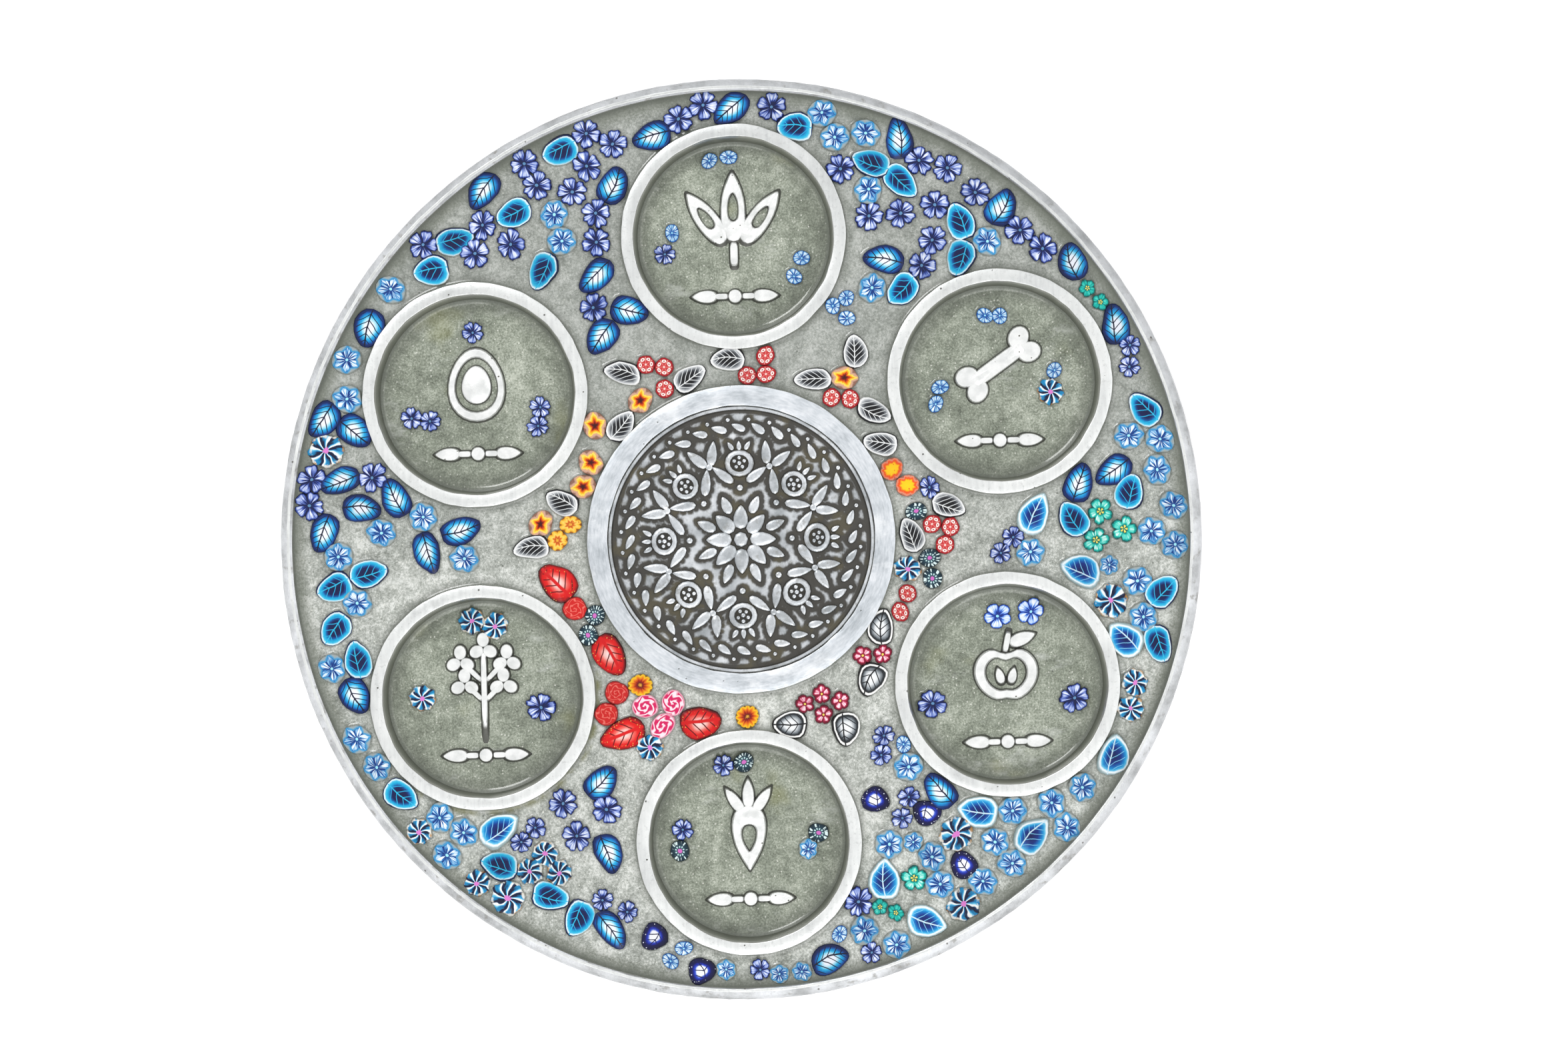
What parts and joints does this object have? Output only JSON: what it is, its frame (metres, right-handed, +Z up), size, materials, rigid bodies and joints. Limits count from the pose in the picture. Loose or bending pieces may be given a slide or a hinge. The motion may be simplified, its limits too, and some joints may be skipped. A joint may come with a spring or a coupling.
{
  "type": "seder plate",
  "caption": "Round cast metal seder plate with raised rings round its food cups, a centre medallion, and a resin field set with patterned clay flower and leaf slices.",
  "frame": {"origin": "centre of the flat underside, on the table", "axes": "+Z up out of the table, +Y from the medallion towards the top cup, +X to the right of it seen from above"},
  "size_m": [0.3, 0.3, 0.0125],
  "materials": {
    "cast_aluminium": "satin, skimmed tops, as-cast flanks",
    "antique_pewter": "antiqued relief with dark recesses",
    "poured_resin": "glossy clear pour over grey metal",
    "blue_leaf_clay": "glazed polymer clay with a cane pattern through its thickness",
    "teal_leaf_clay": "glazed polymer clay with a cane pattern through its thickness",
    "frosted_leaf_clay": "glazed polymer clay with a cane pattern through its thickness",
    "black_heart_leaf_clay": "glazed polymer clay with a cane pattern through its thickness",
    "pewter_leaf_clay": "glazed polymer clay with a cane pattern through its thickness",
    "red_leaf_clay": "glazed polymer clay with a cane pattern through its thickness",
    "navy_leaf_clay": "glazed polymer clay with a cane pattern through its thickness",
    "violet_clay": "glazed polymer clay with a cane pattern through its thickness",
    "small_violet_clay": "glazed polymer clay with a cane pattern through its thickness",
    "star_flower_clay": "glazed polymer clay with a cane pattern through its thickness",
    "small_star_clay": "glazed polymer clay with a cane pattern through its thickness",
    "sky_flower_clay": "glazed polymer clay with a cane pattern through its thickness",
    "periwinkle_clay": "glazed polymer clay with a cane pattern through its thickness",
    "pinwheel_clay": "glazed polymer clay with a cane pattern through its thickness",
    "large_pinwheel_clay": "glazed polymer clay with a cane pattern through its thickness",
    "urchin_clay": "glazed polymer clay with a cane pattern through its thickness",
    "green_flower_clay": "glazed polymer clay with a cane pattern through its thickness",
    "small_green_clay": "glazed polymer clay with a cane pattern through its thickness",
    "red_berry_clay": "glazed polymer clay with a cane pattern through its thickness",
    "pansy_clay": "glazed polymer clay with a cane pattern through its thickness",
    "sunburst_clay": "glazed polymer clay with a cane pattern through its thickness",
    "buttercup_clay": "glazed polymer clay with a cane pattern through its thickness",
    "marigold_clay": "glazed polymer clay with a cane pattern through its thickness",
    "crimson_clay": "glazed polymer clay with a cane pattern through its thickness",
    "pink_rose_clay": "glazed polymer clay with a cane pattern through its thickness",
    "red_rose_clay": "glazed polymer clay with a cane pattern through its thickness"
  },
  "bodies": {
    "root": {"plate_casting": "cast_aluminium", "centre_medallion": "antique_pewter", "field_resin": "poured_resin", "cup_resin": "poured_resin", "blue_leaf_slices": "blue_leaf_clay", "teal_leaf_slices": "teal_leaf_clay", "frosted_leaf_slices": "frosted_leaf_clay", "black_heart_leaf_slices": "black_heart_leaf_clay", "pewter_leaf_slices": "pewter_leaf_clay", "red_leaf_slices": "red_leaf_clay", "navy_leaf_slices": "navy_leaf_clay", "violet_slices": "violet_clay", "small_violet_slices": "small_violet_clay", "star_flower_slices": "star_flower_clay", "small_star_slices": "small_star_clay", "sky_flower_slices": "sky_flower_clay", "periwinkle_slices": "periwinkle_clay", "pinwheel_slices": "pinwheel_clay", "large_pinwheel_slices": "large_pinwheel_clay", "urchin_slices": "urchin_clay", "green_flower_slices": "green_flower_clay", "small_green_slices": "small_green_clay", "red_berry_slices": "red_berry_clay", "pansy_slices": "pansy_clay", "sunburst_slices": "sunburst_clay", "buttercup_slices": "buttercup_clay", "marigold_slices": "marigold_clay", "crimson_slices": "crimson_clay", "pink_rose_slices": "pink_rose_clay", "red_rose_slices": "red_rose_clay"}
  },
  "joints": []
}
